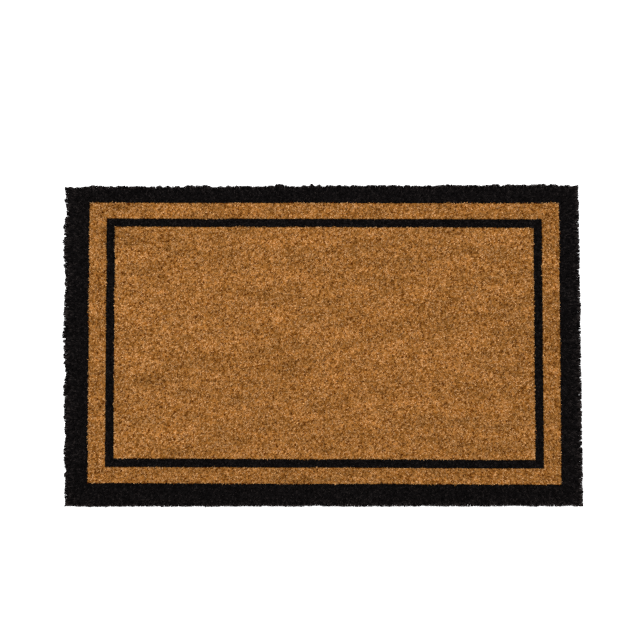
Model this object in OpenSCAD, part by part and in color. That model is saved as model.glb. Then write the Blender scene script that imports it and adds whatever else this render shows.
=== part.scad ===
// Tufted coir door mat: a vinyl backing sheet with an upright coir pile and a printed frame design.
// The pile is four zones of fibre that stand side by side on the backing.
// Origin: centre of the underside. +X runs along the length, +Y towards the back edge, +Z up.

/* [Mat] */
// Length of the cut mat, along X
mat_l = 800; // [600:5:1000]
// Width of the cut mat, along Y
mat_w = 500; // [400:5:700]
// Radius of the four cut corners
corner_r = 2; // [1:0.5:10]

/* [Layers] */
// Thickness of the vinyl backing sheet
backing_t = 2.4; // [1.5:0.1:4]
// Height of the coir pile above the backing
pile_h = 12.6; // [8:0.1:22]

/* [Printed design] */
// Mean width of the black outer border
border_w = 29.5; // [20:0.5:50]
// Width of the natural band at the two short ends, along X
band_end_w = 26.8; // [10:0.1:40]
// Width of the natural band at the two long sides, along Y
band_side_w = 24.9; // [10:0.1:40]
// Width of the thin black frame line
line_w = 13.5; // [5:0.5:25]
// Distance of the design's centre from the mat's centre, along X
print_shift_x = 2.8; // [-6:0.1:6]
// Distance of the design's centre from the mat's centre, along Y
print_shift_y = 3.9; // [-6:0.1:6]
// Turn of the design on the mat, in degrees
print_turn = -0.27; // [-0.5:0.01:0.5]

/* [Hidden] */
// Natural coir, dyed coir and vinyl
coir_tan = [0.60, 0.40, 0.20];
coir_black = [0.07, 0.06, 0.06];
vinyl_black = [0.13, 0.13, 0.13];
// Sides of the three rectangles that the design is drawn with, largest first
frame_l = mat_l - 2 * border_w;
frame_w = mat_w - 2 * border_w;
line_outer_l = frame_l - 2 * band_end_w;
line_outer_w = frame_w - 2 * band_side_w;
field_l = line_outer_l - 2 * line_w;
field_w = line_outer_w - 2 * line_w;
// How far a cutting solid reaches past the pile on each side
cut_past = 1;
$fn = 48;

// Plate of the mat's outline with four round corners, standing on z = 0
module mat_plate(height) {
    straight_l = mat_l - 2 * corner_r;
    straight_w = mat_w - 2 * corner_r;
    translate([-straight_l / 2, -mat_w / 2, 0])
        cube([straight_l, mat_w, height]);
    translate([-mat_l / 2, -straight_w / 2, 0])
        cube([mat_l, straight_w, height]);
    for (side_x = [-1, 1], side_y = [-1, 1])
        translate([side_x * straight_l / 2, side_y * straight_w / 2, 0])
            cylinder(r = corner_r, h = height);
}

// Rectangular block of the printed design, centred on the design and reaching past both faces by past
module print_block(length, width, past = 0) {
    translate([print_shift_x, print_shift_y, -past])
        rotate([0, 0, print_turn])
            translate([-length / 2, -width / 2, 0])
                cube([length, width, pile_h + 2 * past]);
}

// Rectangular ring of pile between two sizes of print block
module print_ring(outer_l, outer_w, inner_l, inner_w) {
    translate([0, 0, backing_t])
        difference() {
            print_block(outer_l, outer_w);
            print_block(inner_l, inner_w, cut_past);
        }
}

module backing_sheet() {
    color(vinyl_black)
        mat_plate(backing_t);
}

module border_pile() {
    color(coir_black)
        translate([0, 0, backing_t])
            difference() {
                mat_plate(pile_h);
                print_block(frame_l, frame_w, cut_past);
            }
}

module band_pile() {
    color(coir_tan)
        print_ring(frame_l, frame_w, line_outer_l, line_outer_w);
}

module line_pile() {
    color(coir_black)
        print_ring(line_outer_l, line_outer_w, field_l, field_w);
}

module field_pile() {
    color(coir_tan)
        translate([0, 0, backing_t])
            print_block(field_l, field_w);
}

backing_sheet();
border_pile();
band_pile();
line_pile();
field_pile();
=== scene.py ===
import math

import bpy
import numpy as np
from mathutils import Euler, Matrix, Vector


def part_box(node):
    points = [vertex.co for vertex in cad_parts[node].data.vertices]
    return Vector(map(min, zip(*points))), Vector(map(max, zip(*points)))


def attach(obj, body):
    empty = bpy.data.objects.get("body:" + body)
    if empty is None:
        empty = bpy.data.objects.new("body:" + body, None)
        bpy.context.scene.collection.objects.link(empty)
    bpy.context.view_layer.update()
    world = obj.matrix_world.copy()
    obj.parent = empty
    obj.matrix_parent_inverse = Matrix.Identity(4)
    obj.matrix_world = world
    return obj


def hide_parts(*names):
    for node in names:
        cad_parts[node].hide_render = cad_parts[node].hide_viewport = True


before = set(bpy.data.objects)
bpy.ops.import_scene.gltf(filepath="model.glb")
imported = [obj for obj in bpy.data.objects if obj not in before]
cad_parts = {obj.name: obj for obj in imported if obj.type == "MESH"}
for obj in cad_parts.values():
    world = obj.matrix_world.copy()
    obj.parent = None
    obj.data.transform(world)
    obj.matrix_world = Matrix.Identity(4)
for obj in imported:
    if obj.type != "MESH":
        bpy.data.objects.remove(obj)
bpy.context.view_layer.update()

MM = 0.001
SEED = 20
BODY = "root"

# ---- Camera: nearly overhead, from a little in front of the mat ----
LENS_MM = 81.94
SENSOR_MM = 36.0
CAMERA_DISTANCE = 2.29
CAMERA_TILT = math.radians(3.0)
CAMERA_YAW = math.radians(0.53)
CAMERA_ROLL = math.radians(-0.16)
CAMERA_AIM_X = -3.4 * MM
CAMERA_AIM_Y = 39.5 * MM

# ---- Fibres ----
FIBRE_PITCH = 1.25 * MM          # spacing of the roots in the vinyl
ROOT_JITTER = 0.46               # share of the pitch that a root strays from its place
ROOT_DEPTH = 1.0 * MM            # how deep the roots sit in the vinyl
FIBRE_RADIUS = 0.37 * MM         # at the root
RADIUS_SPREAD = 0.18             # how much the fibres differ in it, as a share
TIP_TAPER = 0.8                  # radius at the tip, as a share of that at the root
TIP_PROUD = 0.6 * MM             # how far a plain upright tip stands above the CAD pile
MOST_LEAN = 0.93                 # the most that a fibre leans, as a share of its length
MIDDLE = 0.55                    # place of the middle ring along a fibre
MIDDLE_LAG = 0.12                # how much less than that it has leaned, as a share of the lean
RADIUS_RANGE = (0.6, 1.5)        # thinnest and thickest fibre, as shares of the radius
RING_TWIST = 0.5                 # turn of each ring against the last, in radians
BUNDLE_PITCH = 2.4 * MM          # spacing of the little bundles that the tips draw into
BUNDLE_JITTER = 0.42             # share of the pitch that a bundle or gap strays from its place
BUNDLE_PULL = 0.7                # share of the way that a tip is drawn to its bundle's centre
TIP_LEAN = 0.7 * MM              # how far a tip strays sideways from its root
BUNDLE_LEAN = 0.9 * MM           # the same for a whole bundle
BEND = 0.45 * MM                 # how far the middle of a fibre strays from the straight line
TIP_DIP = 0.3 * MM               # unevenness of the shear cut, fibre by fibre
BUNDLE_DIP = 1.1 * MM            # the same, bundle by bundle
MID_TONE = 0.5                   # place of a plain fibre in its material's range of colours
TONE_SPREAD = 0.12               # how much the fibres differ in colour
BUNDLE_TONE_SPREAD = 0.49        # how much the bundles do
GAP_PITCH = 7.2 * MM             # spacing of the dark gaps, where a bundle was sheared short
GAP_DEPTH = 5.0 * MM             # how much shorter than the rest
GAP_PAINTED_SHADE = -0.65                 # painted shade: how much darker the fibres in a gap are coloured
LOOSE_SHARE = 0.012              # share of the fibres that lie over sideways
LOOSE_TONE = 0.25                # how much paler those are
LOOSE_LEAN = 5.0 * MM            # the most that they lean
LOOSE_LEAN_RANGE = (0.4, 1.0)    # least and most share of it that one leans by
LOOSE_HEIGHT = 0.93              # least height of their tips, as a share of their length
LOOSE_KNEE = 0.86                # height of their bend, as a share of their tips'
SIDES = 3                        # corners of a fibre's cross-section, whose end caps need three
RINGS = 3                        # cross-sections along a fibre

# ---- Edge of the mat: how far the tips flare out and how ragged that is ----
EDGE_INSET = 0.6 * MM            # distance of the outermost roots from the cut edge
FLARE_DEPTH = 18.0 * MM          # within this of the edge the fibres lean outwards
CALM_DEPTH = 7.0 * MM            # within this of the edge the fibres stray less
CALM = 0.9                       # and this is by how much
FRINGE_PITCH = 0.6 * MM          # spacing of the extra roots along the edge
FRINGE_ROWS = 5
FRINGE_ROW_STEP = 0.4 * MM       # how far apart their rows are
# How far the outermost tips flare out at the two ends of each edge: front and back, or left and right.
FLARE = {
    "left": (6.6 * MM, 9.6 * MM), "right": (8.0 * MM, 6.2 * MM),
    "front": (2.6 * MM, 3.5 * MM), "back": (3.9 * MM, 2.6 * MM),
}
# How ragged each edge is, and the lengths and shares of the waves that make it so.
RAGGED = {"left": 1.25 * MM, "right": 0.5 * MM, "front": 0.35 * MM, "back": 1.1 * MM}
RAGGED_WAVES = ((26 * MM, 0.6), (6 * MM, 0.7))
RIM_DEPTH = 8.0 * MM             # within this of the edge the fibres are paler: the sprayed ink covers less, and painted light stands for their lit outer sides
RIM_INK_AND_PAINTED_LIGHT = {"left": 0.2, "right": 0.45, "front": 0.75, "back": 0.5}    # how much paler that is on each side, from both causes

# ---- Felted mass of short fibres between the long ones ----
MASS_PITCH = 1.8 * MM            # spacing of the mass's mesh
MASS_TOP = 9.2 * MM              # height of its top above the floor
MASS_LUMPS = 0.9 * MM            # spread of its top's unevenness
MASS_LUMP_LIMIT = 2              # the most unevenness, in spreads
MASS_LUMP_PITCH = 1.3 * MASS_PITCH
MASS_INSET = 2.2 * MM            # distance of its foot from the cut edge
MASS_FLARE = 0.55                # how far its edges follow the fibres outwards
MASS_DROOP = 1.5 * MM            # how far its edges sink where they do
MASS_PAINTED_SHADE_HEIGHT = 0.42                # its colour is that of a fibre at this share of its height, painted shade included
MASS_TONE = 0.45                 # its mean tone
MASS_TONE_SPREAD = 0.2

# ---- Printed design ----
PRINT_BLEED = 0.28 * MM          # how far ink strays over a printed edge, fibre by fibre
INK_WAVES = ((9 * MM, 0.3 * MM), (50 * MM, 0.45 * MM))   # lengths and heights of an edge's waves
STENCIL_SKEW = 1.0 * MM          # how far out of square the stencil is, at two opposite corners
BAND_TONE_DROP = -0.04           # how much darker the band is, which lies between black prints

# ---- Vinyl sheet ----
VINYL_PITCH = 2.2 * MM           # spacing of its mesh
VINYL_WAVE = 0.12 * MM           # mean height of its wavy underside over the floor
VINYL_WAVE_LIMIT = 3             # greatest height, in mean heights
VINYL_WAVE_LENGTH = 30 * MM

# ---- Pieces and their texture maps ----
FIELD_COLUMNS, FIELD_ROWS = 4, 3
MOST_SHARE = 0.9999              # keeps the last points of a side in its last tile
MASS_SHARE_OF_MAP = 0.16         # strip at the right of a piece's texture map for its felted mass
MASS_MAP_WIDTH = 0.9             # share of the strip's width that the mass fills
MASS_MAP_START = 0.95            # where that begins, in strip widths from the map's right side
CELL_ACROSS = (0.2, 0.8)         # from where to where a fibre fills its own map cell
CELL_ALONG = (0.15, 0.85)

# ---- Random fields ----
NOISE_REACH = 30 * MM            # how far past the mat they go
NOISE_GAIN = 1.5                 # makes up for the spread that smoothing takes away

# ---- Materials: WAVES are waves per metre along X, Y and Z ----
NOISE_RANGE = (0.3, 0.7)         # what the noise texture mostly keeps within
PATCH_WAVES = (14, 60, 36)       # broad mottling, longer along the mat than across it
PATCH_DETAIL = 4
STREAK_WAVES = (1500, 1500, 160)
STREAK_SHADE = 0.82              # shade of the darkest streaks
STREAK_GLOSS = 0.18              # how much less rough the pale streaks are
STREAK_BUMP = 0.35
STREAK_DEPTH = 0.1 * MM
SPECK_WAVES = (900, 900, 900)
SPECK_DETAIL = 3
SPECK_COLOURS = ((0.014, 0.014, 0.015), (0.030, 0.030, 0.031))
SPECK_ROUGHNESS = (0.62, 0.5)
WEAVE_SCALE = 160
WEAVE_WOBBLE = 0.6
WEAVE_BUMP = 0.5
WEAVE_DEPTH = 0.2 * MM
VINYL_GLOSS = 0.4

# ---- Studio ----
SKY_LIGHT = 1.40                 # strength of the plain white world
KEY_PLACE = (-0.1, 0.2, 2.55)
KEY_SIZE = 1.2
KEY_POWER = 70
FLOOR_REACH = 8.0                # half its side
FLOOR_GAP = 0.1 * MM             # how far it lies below the mat's lowest point
FLOOR_TONE = 0.92
FLOOR_ROUGHNESS = 0.9

rng = np.random.default_rng(SEED)


# ======================================================================================
# The design, read from the frame
# ======================================================================================
def corners_of(node):
    """The distinct corners of a plain block node, seen from above, to 0.01 mm."""
    points = np.array([v.co[:2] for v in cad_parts[node].data.vertices])
    return np.unique(np.round(points, 5), axis=0)


def turn_of(node):
    """How far a rectangular node is turned from the row frame's axes."""
    corners = corners_of(node)
    right = corners[np.argsort(corners[:, 0])[-2:]]
    low, high = right[np.argsort(right[:, 1])]
    return math.atan2(low[0] - high[0], high[1] - low[1])


def half_sides(node, turn):
    """Half the length and width of a turned rectangle, from its box."""
    low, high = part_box(node)
    size, angle = high - low, abs(turn)
    length = (size.x * math.cos(angle) - size.y * math.sin(angle)) / math.cos(2 * angle)
    width = (size.y * math.cos(angle) - size.x * math.sin(angle)) / math.cos(2 * angle)
    return np.array([length, width]) / 2


PRINT_TURN = turn_of("field_pile")
FIELD_LOW, FIELD_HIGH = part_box("field_pile")
PRINT_CENTRE = np.array((FIELD_LOW + FIELD_HIGH) / 2)[:2]
FIELD_HALF = half_sides("field_pile", PRINT_TURN)
LINE_HALF = half_sides("line_pile", PRINT_TURN)
BAND_HALF = half_sides("band_pile", PRINT_TURN)
MAT_HALF = np.array(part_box("backing_sheet")[1])[:2]
VINYL_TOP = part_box("backing_sheet")[1].z
PILE_TOP = FIELD_HIGH.z
ZONES = ("field_pile", "line_pile", "band_pile", "border_pile")
ZONE_HALVES = (FIELD_HALF, LINE_HALF, BAND_HALF, MAT_HALF)
SLOT_OF = {"field_pile": "natural_coir", "band_pile": "natural_coir",
           "line_pile": "black_coir", "border_pile": "black_coir"}
SIDE_NAMES = ("front", "right", "back", "left")
HALF_NAMES = (("left", "right"), ("front", "back"), ("right", "left"), ("back", "front"))
# Each edge's name, the axis that crosses it and the way that points out.
EDGES = (("front", 1, -1), ("right", 0, 1), ("back", 1, 1), ("left", 0, -1))


def to_print(points):
    """Points of the mat in the printed design's own turned axes."""
    c, s = math.cos(PRINT_TURN), math.sin(PRINT_TURN)
    return (points - PRINT_CENTRE) @ np.array([[c, -s], [s, c]])


def from_print(points):
    """Points in the printed design's own axes as points of the mat."""
    c, s = math.cos(PRINT_TURN), math.sin(PRINT_TURN)
    return np.asarray(points) @ np.array([[c, s], [-s, c]]) + PRINT_CENTRE


def rectangle(half):
    """The corners of a centred rectangle: front left, front right, back right, back left."""
    return np.array([[-1, -1], [1, -1], [1, 1], [-1, 1]]) * half


def stencil_skew(share):
    """How far the skewed stencil moves points, share being their place from -1 to 1 both ways.

    Its front right and back left corners lie further out, and its other two stay.
    """
    return STENCIL_SKEW * (1 - share[:, :1] * share[:, 1:]) / 2 * share


def printed_corners(index):
    """The four corners of one printed rectangle, in the print's own axes."""
    return rectangle(ZONE_HALVES[index]) + stencil_skew(rectangle(1))


def inside_print(points, index):
    """Which points lie within one printed rectangle of the skewed stencil."""
    half = ZONE_HALVES[index]
    share = np.clip(points / half, -1, 1)
    return (np.abs(points - stencil_skew(share)) < half).all(1)


# ======================================================================================
# Random fields
# ======================================================================================
def noise_field(wave):
    """A function of points over the mat: smooth noise of mean 0 and spread about 1."""
    reach = MAT_HALF + NOISE_REACH
    table = rng.standard_normal((2 * reach / wave).astype(int) + 3) * NOISE_GAIN

    def at(points):
        places = (points + reach) / wave
        i, j = places.astype(int).T
        fu, fv = (places - places.astype(int)).T
        fu, fv = fu * fu * (3 - 2 * fu), fv * fv * (3 - 2 * fv)
        low = table[i, j] * (1 - fu) + table[i + 1, j] * fu
        high = table[i, j + 1] * (1 - fu) + table[i + 1, j + 1] * fu
        return low * (1 - fv) + high * fv

    return at


def jittered_grid(half, pitch, jitter):
    """Points about pitch apart over a centred rectangle, as an (nx, ny, 2) array."""
    count = np.maximum(np.round(2 * np.asarray(half) / pitch).astype(int), 1)
    step = 2 * np.asarray(half) / count
    x, y = np.meshgrid(np.arange(count[0]) + 0.5, np.arange(count[1]) + 0.5, indexing="ij")
    places = np.stack([x, y], axis=-1) * step - half
    return places + rng.uniform(-jitter, jitter, places.shape) * step


def nearest_bundle(points, centres):
    """The index of the bundle centre nearest to each point, centres being a jittered grid."""
    count = np.array(centres.shape[:2])
    half = np.array([np.abs(centres[..., k]).max() for k in (0, 1)])
    cell = np.clip(((points + half) / (2 * half) * count).astype(int), 0, count - 1)
    best = np.full(len(points), np.inf)
    found = np.zeros(len(points), int)
    for step_x in (-1, 0, 1):
        for step_y in (-1, 0, 1):
            near = np.clip(cell + (step_x, step_y), 0, count - 1)
            away = ((centres[near[:, 0], near[:, 1]] - points) ** 2).sum(1)
            closer = away < best
            best[closer] = away[closer]
            found[closer] = (near[:, 0] * count[1] + near[:, 1])[closer]
    return found


ragged_waves = [(noise_field(length), share) for length, share in RAGGED_WAVES]
mass_lumps = noise_field(MASS_LUMP_PITCH)
vinyl_waves = noise_field(VINYL_WAVE_LENGTH)
ink_waves = [[(noise_field(length), height) for length, height in INK_WAVES] for _ in "xy"]


# ======================================================================================
# Fibres
# ======================================================================================
def fringe_roots():
    """Extra roots along the four cut edges, which make the fringe dense."""
    half = MAT_HALF - EDGE_INSET
    rows = []
    for row in range(FRINGE_ROWS):
        inset = half - row * FRINGE_ROW_STEP
        for axis in (0, 1):
            count = int(2 * inset[axis] / FRINGE_PITCH)
            for sign in (-1, 1):
                line = np.empty((count, 2))
                line[:, axis] = np.linspace(-inset[axis], inset[axis], count)
                line[:, axis] += rng.uniform(-0.5, 0.5, count) * FRINGE_PITCH
                line[:, 1 - axis] = sign * inset[1 - axis]
                line[:, 1 - axis] += rng.uniform(-0.5, 0.5, count) * FRINGE_ROW_STEP
                rows.append(line)
    return np.clip(np.concatenate(rows), -half, half)


def near_edge(points, axis, sign, depth):
    """How near points are to one edge of the mat: 0 at depth from it or more, 1 at the edge."""
    inside = MAT_HALF[axis] - sign * points[:, axis]
    return np.clip(1 - inside / depth, 0, 1)


def calm_near_edges(points):
    """What is left of the fibres' sideways straying, down to 1 - CALM at the mat's edges."""
    near = [near_edge(points, axis, sign, CALM_DEPTH) for _, axis, sign in EDGES]
    return (1 - CALM * np.max(near, axis=0))[:, None]


def rim_ink_and_painted_light(points):
    """How much paler the fibres are near the mat's four edges, from thinner ink and painted light on
    their lit outer sides.
    """
    return np.max([RIM_INK_AND_PAINTED_LIGHT[side] * near_edge(points, axis, sign, RIM_DEPTH)
                   for side, axis, sign in EDGES], axis=0)


def edge_push(points):
    """How far the pile's top is pushed out at points near the mat's four edges."""
    push = np.zeros_like(points)
    wave = sum(share * field(points) for field, share in ragged_waves)
    for side, axis, sign in EDGES:
        along = (points[:, 1 - axis] / MAT_HALF[1 - axis] + 1) / 2
        flare = FLARE[side][0] * (1 - along) + FLARE[side][1] * along
        near = near_edge(points, axis, sign, FLARE_DEPTH)
        push[:, axis] += sign * near * (flare + RAGGED[side] * wave)
    return push


def grow_fibres():
    """Every fibre of the mat: the centres of its rings, its radius and its colour numbers."""
    centres = jittered_grid(MAT_HALF, BUNDLE_PITCH, BUNDLE_JITTER)
    roots = jittered_grid(MAT_HALF - EDGE_INSET, FIBRE_PITCH, ROOT_JITTER).reshape(-1, 2)
    roots = np.concatenate([roots, fringe_roots()])
    count = len(roots)
    bundle = nearest_bundle(roots, centres)
    flat_centres = centres.reshape(-1, 2)
    bundles = len(flat_centres)

    lean = rng.standard_normal((count, 2)) * TIP_LEAN
    loose = rng.random(count) < LOOSE_SHARE
    angle = rng.uniform(0, 2 * math.pi, count)
    over = np.stack([np.cos(angle), np.sin(angle)], axis=1) * LOOSE_LEAN
    lean[loose] += over[loose] * rng.uniform(*LOOSE_LEAN_RANGE, (loose.sum(), 1))
    lean += rng.standard_normal((bundles, 2))[bundle] * BUNDLE_LEAN
    lean += (flat_centres[bundle] - roots) * BUNDLE_PULL
    lean = lean * calm_near_edges(roots) + edge_push(roots)

    gap = np.zeros(bundles, dtype=bool)
    gap_places = jittered_grid(MAT_HALF, GAP_PITCH, BUNDLE_JITTER).reshape(-1, 2)
    gap[nearest_bundle(gap_places, centres)] = True
    sunk = np.abs(rng.standard_normal(bundles)) * BUNDLE_DIP + gap * GAP_DEPTH
    dip = rng.standard_normal(count) * TIP_DIP + sunk[bundle]
    length = PILE_TOP - VINYL_TOP - dip + TIP_PROUD
    away = np.linalg.norm(lean, axis=1)
    lean *= np.minimum(1, length * MOST_LEAN / np.maximum(away, 1e-9))[:, None]
    height = np.sqrt(np.maximum(length ** 2 - np.linalg.norm(lean, axis=1) ** 2, 0))
    height[loose] = np.maximum(height[loose], length[loose] * LOOSE_HEIGHT)

    root = np.column_stack([roots, np.full(count, VINYL_TOP - ROOT_DEPTH)])
    tip = np.column_stack([roots + lean, VINYL_TOP + height])
    middle = root * (1 - MIDDLE) + tip * MIDDLE
    middle[:, :2] -= lean * MIDDLE_LAG
    middle[:, :2] += rng.standard_normal((count, 2)) * BEND
    middle[loose, 2] = VINYL_TOP + height[loose] * LOOSE_KNEE
    return {
        "rings": np.stack([root, middle, tip], axis=1),
        "radius": FIBRE_RADIUS * np.clip(
            1 + RADIUS_SPREAD * rng.standard_normal(count), *RADIUS_RANGE),
        "turn": rng.uniform(0, 2 * math.pi, count),
        "tone": MID_TONE + TONE_SPREAD * rng.standard_normal(count) + loose * LOOSE_TONE
        # Fibres in a gap are coloured darker: painted shade.
        + (BUNDLE_TONE_SPREAD * rng.standard_normal(bundles) + gap * GAP_PAINTED_SHADE)[bundle]
        # Near the edges: thinner ink and painted light make the fibres paler.
        + rim_ink_and_painted_light(roots),
    }


def ink_wander(points):
    """How far the printed edges wander at points, where ink spread or the stencil lifted."""
    return np.column_stack([sum(height * wave(points) for wave, height in waves)
                            for waves in ink_waves])


def sort_by_zone(fibres):
    """Splits the fibres among the pieces by where their tips lie in the printed design."""
    tips = fibres["rings"][:, -1, :2]
    plain = to_print(tips)
    inked = plain + ink_wander(tips) + rng.standard_normal(tips.shape) * PRINT_BLEED
    zone = np.full(len(tips), len(ZONES) - 1)
    for index in reversed(range(len(ZONES) - 1)):
        zone[inside_print(inked, index)] = index
    fibres["tone"][zone == ZONES.index("band_pile")] += BAND_TONE_DROP
    labels = np.empty(len(tips), dtype="U24")
    for index, name in enumerate(ZONES):
        mine = zone == index
        here = plain[mine]
        if index == 0:
            share = np.clip((here / FIELD_HALF + 1) / 2, 0, MOST_SHARE)
            column = (share[:, 0] * FIELD_COLUMNS).astype(int)
            row = (share[:, 1] * FIELD_ROWS).astype(int)
            labels[mine] = [f"{name}_{r * FIELD_COLUMNS + c + 1}" for r, c in zip(row, column)]
        else:
            past = np.abs(here) - ZONE_HALVES[index - 1]
            along_x = past[:, 1] > past[:, 0]
            side = np.where(along_x, np.where(here[:, 1] < 0, 0, 2), np.where(here[:, 0] > 0, 1, 3))
            half = np.where(along_x, np.where(here[:, 0] < 0, "_left", "_right"),
                            np.where(here[:, 1] < 0, "_front", "_back"))
            tail = half if name == "border_pile" else [""] * len(here)
            labels[mine] = [f"{name}_{SIDE_NAMES[s]}{t}" for s, t in zip(side, tail)]
    return labels


def fibre_mesh(fibres, chosen):
    """Points, triangles, map places and colour numbers of the chosen fibres."""
    rings, radius = fibres["rings"][chosen], fibres["radius"][chosen]
    count = len(rings)
    order = map_order(rings[:, -1, :2])
    rings, radius = rings[order], radius[order]
    turn, tone = fibres["turn"][chosen][order], fibres["tone"][chosen][order]
    taper = np.linspace(1, TIP_TAPER, RINGS)
    angle = turn[:, None, None] + np.arange(SIDES) * 2 * math.pi / SIDES
    angle = angle + np.arange(RINGS)[None, :, None] * RING_TWIST
    offset = np.stack([np.cos(angle), np.sin(angle), np.zeros_like(angle)], axis=-1)
    offset = offset * (radius[:, None] * taper)[:, :, None, None]
    points = (rings[:, :, None, :] + offset).reshape(-1, 3)

    template = []
    for ring in range(RINGS - 1):
        for side in range(SIDES):
            a, b = ring * SIDES + side, ring * SIDES + (side + 1) % SIDES
            template += [(a, b, b + SIDES), (a, b + SIDES, a + SIDES)]
    last = (RINGS - 1) * SIDES
    template += [(0, 2, 1), (last, last + 1, last + 2)]
    per_fibre = RINGS * SIDES
    first = np.arange(count)[:, None, None] * per_fibre
    triangles = (np.array(template)[None] + first).reshape(-1, 3)

    height = np.tile(np.repeat(np.linspace(0, 1, RINGS), SIDES), count)
    cells = map_cells(count, rings[:, -1, :2])
    across = np.tile(np.tile(np.linspace(*CELL_ACROSS, SIDES), RINGS), count)
    along = np.tile(np.repeat(np.linspace(*CELL_ALONG, RINGS), SIDES), count)
    place = np.repeat(cells[0], per_fibre, axis=0)
    place = place + np.column_stack([across, along]) * cells[1]
    place[:, 0] *= 1 - MASS_SHARE_OF_MAP
    return points, triangles, place, height, np.repeat(tone, per_fibre)


def map_grid(count, tips):
    """Columns and rows of the cells that a piece's texture map gives to its fibres."""
    size = np.ptp(tips, axis=0) + MM
    columns = max(1, round(math.sqrt(count * size[0] / size[1])))
    return columns, math.ceil(count / columns)


def map_order(tips):
    """The fibres' order in which map cells lie about as the fibres themselves do."""
    columns, rows = map_grid(len(tips), tips)
    by_row = np.argsort(tips[:, 1], kind="stable")
    order = []
    for row in range(rows):
        strip = by_row[row * columns:(row + 1) * columns]
        order.append(strip[np.argsort(tips[strip, 0], kind="stable")])
    return np.concatenate(order)


def map_cells(count, tips):
    """The lower left corner of each fibre's cell, and a cell's size."""
    columns, rows = map_grid(count, tips)
    index = np.arange(count)
    size = np.array([1 / columns, 1 / rows])
    return np.column_stack([index % columns, index // columns]) * size, size


# ======================================================================================
# Blocks with one uneven face: the felted mass and the vinyl sheet
# ======================================================================================
def patch_points(corners, u, v):
    """Points of a four-cornered patch at shares u and v, from 0 to 1, of its two ways."""
    return (corners[0] * (1 - u) * (1 - v) + corners[1] * u * (1 - v)
            + corners[2] * u * v + corners[3] * (1 - u) * v)


def relief_block(corners, pitch, relief, base_z):
    """A closed block over four corners, one face moved by relief, the other flat at base_z."""
    corners = np.asarray(corners, float)
    length = np.linalg.norm(corners[1] - corners[0]), np.linalg.norm(corners[2] - corners[1])
    nu, nv = (max(2, round(side / pitch)) for side in length)
    u, v = np.meshgrid(np.linspace(0, 1, nu + 1), np.linspace(0, 1, nv + 1), indexing="ij")
    u, v = u.ravel()[:, None], v.ravel()[:, None]
    flat = patch_points(corners, u, v)
    face = relief(flat)
    index = np.arange((nu + 1) * (nv + 1)).reshape(nu + 1, nv + 1)
    a, b, c, d = (index[:-1, :-1], index[1:, :-1], index[1:, 1:], index[:-1, 1:])
    a, b, c, d = (x.ravel() for x in (a, b, c, d))
    triangles = [np.column_stack([a, b, c]), np.column_stack([a, c, d])]
    rim = np.concatenate([index[:-1, 0], index[-1, :-1], index[:0:-1, -1], index[0, :0:-1]])
    low = len(face) + np.arange(len(rim))
    after = np.roll(np.arange(len(rim)), -1)
    triangles.append(np.column_stack([rim, low, low[after]]))
    triangles.append(np.column_stack([rim, low[after], rim[after]]))
    middle = len(face) + len(rim)
    triangles.append(np.column_stack([low, np.full(len(rim), middle), low[after]]))
    base = np.column_stack([flat[rim], np.full(len(rim), base_z)])
    centre = np.append(corners.mean(0), base_z)[None]
    points = np.concatenate([face, base, centre])
    smooth = np.arange(sum(map(len, triangles))) < 2 * nu * nv
    triangles = np.concatenate(triangles)
    if face[:, 2].mean() < base_z:
        triangles = triangles[:, ::-1]
    grid = np.column_stack([u, v])
    place = np.concatenate([grid, grid[rim], [[0.5, 0.5]]])
    return points, triangles, smooth, place


def mass_relief(flat):
    """The felted mass's top: lumpy, and at the mat's edges pushed out and sunk."""
    push = edge_push(flat) * MASS_FLARE
    out = np.linalg.norm(push, axis=1) / max(max(ends) for ends in FLARE.values())
    lumps = MASS_LUMPS * np.clip(mass_lumps(flat), -MASS_LUMP_LIMIT, MASS_LUMP_LIMIT)
    top = MASS_TOP + lumps - MASS_DROOP * out
    return np.column_stack([flat + push, top])


def mitred(outer, inner, side, part=None):
    """The four corners of one side of a frame between two rectangles, or of one half of it."""
    a, b = side, (side + 1) % 4
    corners = [outer[a], outer[b], inner[b], inner[a]]
    if part is not None:
        out_mid, in_mid = (outer[a] + outer[b]) / 2, (inner[a] + inner[b]) / 2
        first = [corners[0], out_mid, in_mid, corners[3]]
        second = [out_mid, corners[1], corners[2], in_mid]
        corners = first if part == 0 else second
    return np.array(corners)


def piece_plan():
    """Each pile piece's name, CAD node and the corners of its patch of the mat."""
    plan = []
    field = printed_corners(0)
    for row in range(FIELD_ROWS):
        for column in range(FIELD_COLUMNS):
            share = (rectangle(0.5) + 0.5 + (column, row)) / (FIELD_COLUMNS, FIELD_ROWS)
            patch = patch_points(field, share[:, :1], share[:, 1:])
            name = f"field_pile_{row * FIELD_COLUMNS + column + 1}"
            plan.append((name, "field_pile", from_print(patch)))
    for index, node in enumerate(ZONES[1:], 1):
        inner = from_print(printed_corners(index - 1))
        if node == "border_pile":
            outer = rectangle(MAT_HALF - MASS_INSET)
        else:
            outer = from_print(printed_corners(index))
        for side, side_name in enumerate(SIDE_NAMES):
            if node == "border_pile":
                for part, half_name in enumerate(HALF_NAMES[side]):
                    name = f"{node}_{side_name}_{half_name}"
                    plan.append((name, node, mitred(outer, inner, side, part)))
            else:
                plan.append((f"{node}_{side_name}", node, mitred(outer, inner, side)))
    return plan


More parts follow.
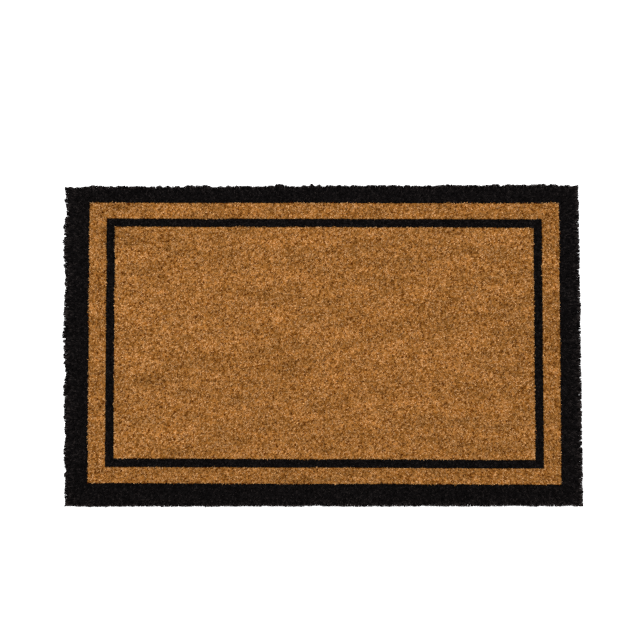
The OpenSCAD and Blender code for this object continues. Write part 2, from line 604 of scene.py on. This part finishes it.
# ======================================================================================
# Mesh objects
# ======================================================================================
def make_piece(name, points, triangles, smooth, place, numbers, material):
    """A mesh object from arrays, with its own texture map, riding on the mat's body."""
    mesh = bpy.data.meshes.new(name)
    mesh.vertices.add(len(points))
    mesh.vertices.foreach_set("co", points.astype(np.float32).ravel())
    mesh.loops.add(triangles.size)
    mesh.loops.foreach_set("vertex_index", triangles.astype(np.int32).ravel())
    mesh.polygons.add(len(triangles))
    mesh.polygons.foreach_set("loop_start", np.arange(0, triangles.size, 3, dtype=np.int32))
    mesh.polygons.foreach_set("use_smooth", smooth)
    mesh.update(calc_edges=True)
    uv = mesh.uv_layers.new(name="OFBake")
    uv.data.foreach_set("uv", place[triangles.ravel()].astype(np.float32).ravel())
    for key, values in numbers.items():
        layer = mesh.attributes.new(key, "FLOAT", "POINT")
        layer.data.foreach_set("value", values.astype(np.float32))
    mesh.materials.append(material)
    mesh.validate()
    piece = bpy.data.objects.new(name, mesh)
    bpy.context.scene.collection.objects.link(piece)
    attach(piece, BODY)
    return piece


def build_pile(materials):
    """Every piece of the pile: its fibres and the felted mass between them, in one mesh each."""
    fibres = grow_fibres()
    labels = sort_by_zone(fibres)
    pieces = []
    for name, node, patch in piece_plan():
        points, triangles, place, height, tone = fibre_mesh(fibres, np.flatnonzero(labels == name))
        mass, mass_triangles, smooth, mass_place = relief_block(
            patch, MASS_PITCH, mass_relief, VINYL_TOP)
        mass_place = mass_place * (MASS_SHARE_OF_MAP * MASS_MAP_WIDTH, 1)
        mass_place = mass_place + (1 - MASS_SHARE_OF_MAP * MASS_MAP_START, 0)
        numbers = {
            "height": np.concatenate([height, np.full(len(mass), MASS_PAINTED_SHADE_HEIGHT)]),
            "tone": np.concatenate([tone, rng.normal(MASS_TONE, MASS_TONE_SPREAD, len(mass))]),
        }
        slot = SLOT_OF[node]
        piece = make_piece(
            name, np.concatenate([points, mass]),
            np.concatenate([triangles, mass_triangles + len(points)]),
            np.concatenate([np.ones(len(triangles), bool), smooth]),
            np.concatenate([place, mass_place]), numbers, materials[slot])
        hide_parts(node)
        pieces.append(piece)
    return pieces


def vinyl_relief(flat):
    """The vinyl's underside: slightly wavy, and on the floor where it is lowest."""
    rise = np.clip(1 + vinyl_waves(flat) / 2, 0, VINYL_WAVE_LIMIT)
    return np.column_stack([flat, VINYL_WAVE * rise])


def build_backing(materials):
    """The vinyl sheet that the fibres are set into."""
    points, triangles, smooth, place = relief_block(
        rectangle(MAT_HALF), VINYL_PITCH, vinyl_relief, VINYL_TOP)
    piece = make_piece("vinyl_sheet", points, triangles, smooth, place, {},
                       materials["vinyl_backing"])
    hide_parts("backing_sheet")
    return piece


# ======================================================================================
# Materials
# ======================================================================================
def new_material(name):
    """A material with its node tree and its main shader."""
    material = bpy.data.materials.new(name)
    material.use_nodes = True
    tree = material.node_tree
    shader = tree.nodes["Principled BSDF"]
    return material, tree, shader


def node(tree, kind, **settings):
    """A new node of a material, with its settings."""
    made = tree.nodes.new(kind)
    for key, value in settings.items():
        setattr(made, key, value)
    return made


def ramp(tree, factor, stops):
    """The colour that a factor picks among stops, each a position and a colour."""
    made = node(tree, "ShaderNodeValToRGB")
    elements = made.color_ramp.elements
    while len(elements) < len(stops):
        elements.new(0.5)
    for element, (position, colour) in zip(elements, stops):
        element.position = position
        element.color = (*colour, 1)
    tree.links.new(factor, made.inputs["Fac"])
    return made.outputs["Color"]


def grey(value):
    return (value, value, value)


def noise_ramp(tree, factor, low, high):
    """A ramp from low to high over the range of a noise texture."""
    return ramp(tree, factor, list(zip(NOISE_RANGE, (low, high))))


def multiply(tree, a, b):
    made = node(tree, "ShaderNodeMix", data_type="RGBA", blend_type="MULTIPLY")
    made.inputs["Factor"].default_value = 1
    tree.links.new(a, made.inputs["A"])
    tree.links.new(b, made.inputs["B"])
    return made.outputs["Result"]


def attribute(tree, name):
    return node(tree, "ShaderNodeAttribute", attribute_name=name).outputs["Fac"]


def noise(tree, scale, detail=2.0):
    """Noise in object space, scale being waves per metre along X, Y and Z."""
    place = node(tree, "ShaderNodeTexCoord")
    stretch = node(tree, "ShaderNodeMapping")
    stretch.inputs["Scale"].default_value = scale
    made = node(tree, "ShaderNodeTexNoise")
    made.inputs["Scale"].default_value = 1
    made.inputs["Detail"].default_value = detail
    tree.links.new(place.outputs["Object"], stretch.inputs["Vector"])
    tree.links.new(stretch.outputs["Vector"], made.inputs["Vector"])
    return made.outputs["Fac"]


def coir(name, tones, root_painted_shade, mottle, roughness, gloss):
    """Coconut fibre: tones from dark to pale fibres, darkened towards the root by painted shade,
    faintly streaked.
    """
    material, tree, shader = new_material(name)
    colour = ramp(tree, attribute(tree, "tone"), tones)
    # Painted shade: the colour darkens from the tip down to the root, standing in for the shade deep
    # in the pile.
    half_way = tuple((part + 1) / 2 for part in root_painted_shade)
    shade = ramp(tree, attribute(tree, "height"),
                 [(0.0, root_painted_shade), (0.5, half_way), (1.0, grey(1.0))])
    patches = noise_ramp(tree, noise(tree, PATCH_WAVES, PATCH_DETAIL), grey(1 - mottle), grey(1.0))
    streaks = noise(tree, STREAK_WAVES)
    streak_shade = noise_ramp(tree, streaks, grey(STREAK_SHADE), grey(1.0))
    colour = multiply(tree, multiply(tree, colour, shade), multiply(tree, patches, streak_shade))
    tree.links.new(colour, shader.inputs["Base Color"])
    rough = noise_ramp(tree, streaks, grey(roughness), grey(roughness - STREAK_GLOSS))
    tree.links.new(rough, shader.inputs["Roughness"])
    bump = node(tree, "ShaderNodeBump")
    bump.inputs["Strength"].default_value = STREAK_BUMP
    bump.inputs["Distance"].default_value = STREAK_DEPTH
    tree.links.new(streaks, bump.inputs["Height"])
    tree.links.new(bump.outputs["Normal"], shader.inputs["Normal"])
    shader.inputs["Specular IOR Level"].default_value = gloss
    return material


def natural_coir():
    """Plain coir, made redder and darker towards the root by painted shade."""
    tones = [(0.0, (0.114, 0.022, 0.0005)), (0.35, (0.372, 0.160, 0.028)),
             (0.65, (0.594, 0.305, 0.097)), (1.0, (0.86, 0.500, 0.223))]
    return coir("natural_coir", tones, root_painted_shade=(0.40, 0.27, 0.10), mottle=0.28,
                roughness=0.8, gloss=0.01)


def black_coir():
    """Coir under black ink, a little paler near the mat's edges, where the ink covers less and painted
    light stands for the fibres' lit sides.
    """
    tones = [(0.0, (0.0016, 0.0012, 0.0013)), (0.5, (0.0032, 0.0024, 0.0025)),
             (0.8, (0.0066, 0.0050, 0.0050)), (1.0, (0.0225, 0.0180, 0.0172))]
    # Its roots take a little painted shade too.
    return coir("black_coir", tones, root_painted_shade=grey(0.8), mottle=0.1,
                roughness=0.85, gloss=0.037)


def vinyl():
    """Matt black foamed vinyl with the fine weave of the belt it was cast on."""
    material, tree, shader = new_material("vinyl_backing")
    specks = noise(tree, SPECK_WAVES, SPECK_DETAIL)
    colour = noise_ramp(tree, specks, *SPECK_COLOURS)
    tree.links.new(colour, shader.inputs["Base Color"])
    rough = noise_ramp(tree, specks, *map(grey, SPECK_ROUGHNESS))
    tree.links.new(rough, shader.inputs["Roughness"])
    place = node(tree, "ShaderNodeTexCoord")
    heights = []
    for direction in ("X", "Y"):
        wave = node(tree, "ShaderNodeTexWave", bands_direction=direction)
        wave.inputs["Scale"].default_value = WEAVE_SCALE
        wave.inputs["Distortion"].default_value = WEAVE_WOBBLE
        tree.links.new(place.outputs["Object"], wave.inputs["Vector"])
        heights.append(wave.outputs["Fac"])
    weave = node(tree, "ShaderNodeMath", operation="MAXIMUM")
    tree.links.new(heights[0], weave.inputs[0])
    tree.links.new(heights[1], weave.inputs[1])
    bump = node(tree, "ShaderNodeBump")
    bump.inputs["Strength"].default_value = WEAVE_BUMP
    bump.inputs["Distance"].default_value = WEAVE_DEPTH
    tree.links.new(weave.outputs["Value"], bump.inputs["Height"])
    tree.links.new(bump.outputs["Normal"], shader.inputs["Normal"])
    shader.inputs["Specular IOR Level"].default_value = VINYL_GLOSS
    return material


# ======================================================================================
# Studio
# ======================================================================================
def add_camera():
    """The camera, at its distance from the point at the pile's height that it looks at."""
    data = bpy.data.cameras.new("camera")
    data.lens = LENS_MM
    data.sensor_width = SENSOR_MM
    camera = bpy.data.objects.new("camera", data)
    turn = Euler((CAMERA_TILT, CAMERA_YAW, CAMERA_ROLL))
    aim = Vector((CAMERA_AIM_X, CAMERA_AIM_Y, PILE_TOP))
    camera.rotation_euler = turn
    camera.location = aim + turn.to_matrix() @ Vector((0, 0, CAMERA_DISTANCE))
    bpy.context.scene.collection.objects.link(camera)
    bpy.context.scene.camera = camera


def add_softbox(name, place, size, power):
    """A square area light that faces the frame's origin."""
    data = bpy.data.lights.new(name, "AREA")
    data.shape = "SQUARE"
    data.size = size
    data.energy = power
    light = bpy.data.objects.new(name, data)
    light.location = place
    light.rotation_euler = (-Vector(place)).to_track_quat("-Z", "Y").to_euler()
    bpy.context.scene.collection.objects.link(light)


def add_studio():
    """A plain white world, one softbox overhead and a pale floor."""
    scene = bpy.context.scene
    scene.view_settings.view_transform = "Standard"
    world = bpy.data.worlds.new("studio")
    world.use_nodes = True
    world.node_tree.nodes["Background"].inputs["Color"].default_value = (1, 1, 1, 1)
    world.node_tree.nodes["Background"].inputs["Strength"].default_value = SKY_LIGHT
    scene.world = world
    scene.cycles.use_denoising = False
    add_softbox("key", KEY_PLACE, KEY_SIZE, KEY_POWER)
    mesh = bpy.data.meshes.new("floor")
    mesh.from_pydata([(x, y, 0) for x, y in rectangle(FLOOR_REACH)], [], [(0, 1, 2, 3)])
    floor = bpy.data.objects.new("floor", mesh)
    floor.location.z = -FLOOR_GAP
    material, _, shader = new_material("floor")
    shader.inputs["Base Color"].default_value = (*grey(FLOOR_TONE), 1)
    shader.inputs["Roughness"].default_value = FLOOR_ROUGHNESS
    mesh.materials.append(material)
    scene.collection.objects.link(floor)


add_camera()
add_studio()
MATERIALS = {"natural_coir": natural_coir(), "black_coir": black_coir(), "vinyl_backing": vinyl()}
pile = build_pile(MATERIALS)
backing = build_backing(MATERIALS)
